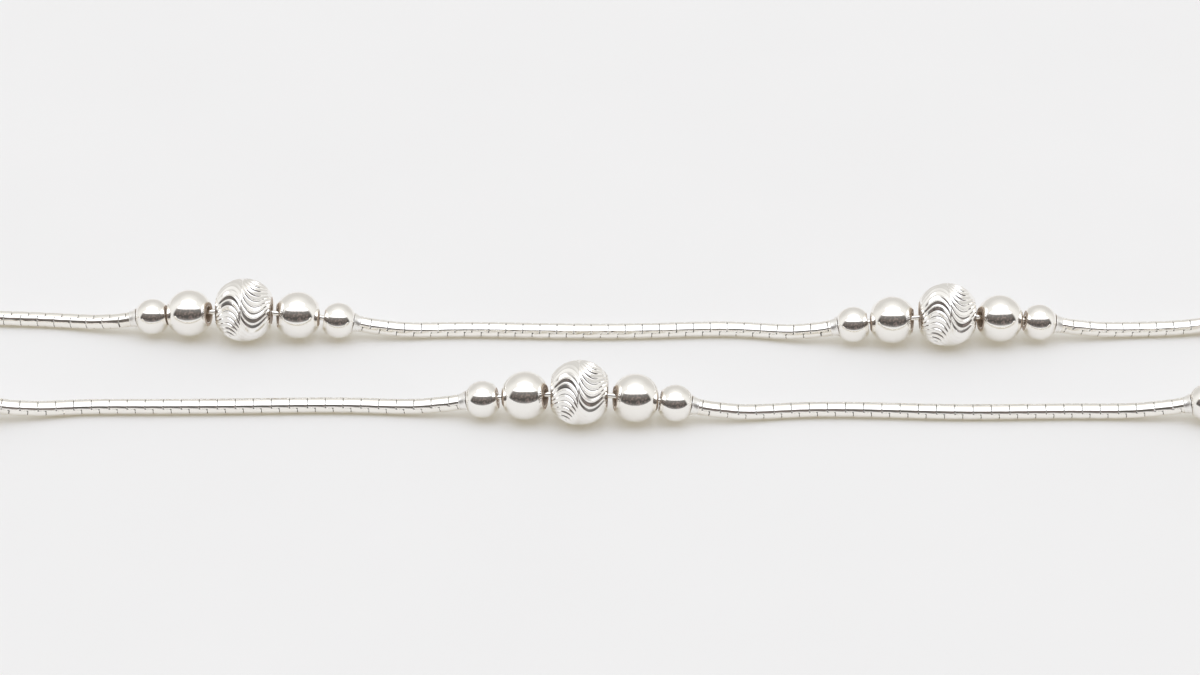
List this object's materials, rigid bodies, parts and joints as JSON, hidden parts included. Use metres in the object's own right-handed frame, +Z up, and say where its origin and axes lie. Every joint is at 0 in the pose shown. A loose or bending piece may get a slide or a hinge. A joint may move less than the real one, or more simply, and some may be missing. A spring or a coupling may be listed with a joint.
{
  "type": "payal anklet",
  "caption": "Silver payal anklet: a closed loop of eight-sided snake chain with groups of polished and wave-cut beads, lying as a long narrow loop.",
  "frame": {"origin": "on the surface that the anklet lies on, under the middle of the loop's box", "axes": "+X along the two long strands, +Y from the near strand to the far strand, +Z up"},
  "size_m": [0.1366, 0.0172, 0.0048],
  "materials": {
    "bead_silver": "polished silver, slightly worn",
    "cut_silver": "bright-cut silver",
    "chain_silver": "polished silver",
    "wire_silver": "drawn silver wire, soldered"
  },
  "bodies": {
    "root": {"small_bead_1a": "bead_silver", "medium_bead_1a": "bead_silver", "cut_bead_1": "cut_silver", "medium_bead_1b": "bead_silver", "small_bead_1b": "bead_silver", "bead_wire_1": "wire_silver", "small_bead_2a": "bead_silver", "medium_bead_2a": "bead_silver", "cut_bead_2": "cut_silver", "medium_bead_2b": "bead_silver", "small_bead_2b": "bead_silver", "bead_wire_2": "wire_silver", "small_bead_3a": "bead_silver", "medium_bead_3a": "bead_silver", "cut_bead_3": "cut_silver", "medium_bead_3b": "bead_silver", "small_bead_3b": "bead_silver", "bead_wire_3": "wire_silver", "small_bead_4a": "bead_silver", "medium_bead_4a": "bead_silver", "cut_bead_4": "cut_silver", "medium_bead_4b": "bead_silver", "small_bead_4b": "bead_silver", "bead_wire_4": "wire_silver", "small_bead_5a": "bead_silver", "medium_bead_5a": "bead_silver", "cut_bead_5": "cut_silver", "medium_bead_5b": "bead_silver", "small_bead_5b": "bead_silver", "bead_wire_5": "wire_silver", "chain_far_middle": "chain_silver", "chain_far_right": "chain_silver", "chain_right_turn": "chain_silver", "chain_near_right": "chain_silver", "chain_near_left": "chain_silver", "chain_left_turn": "chain_silver", "clasp_eye_a": "wire_silver", "clasp_eye_b": "wire_silver", "clasp_hook": "wire_silver"}
  },
  "joints": []
}
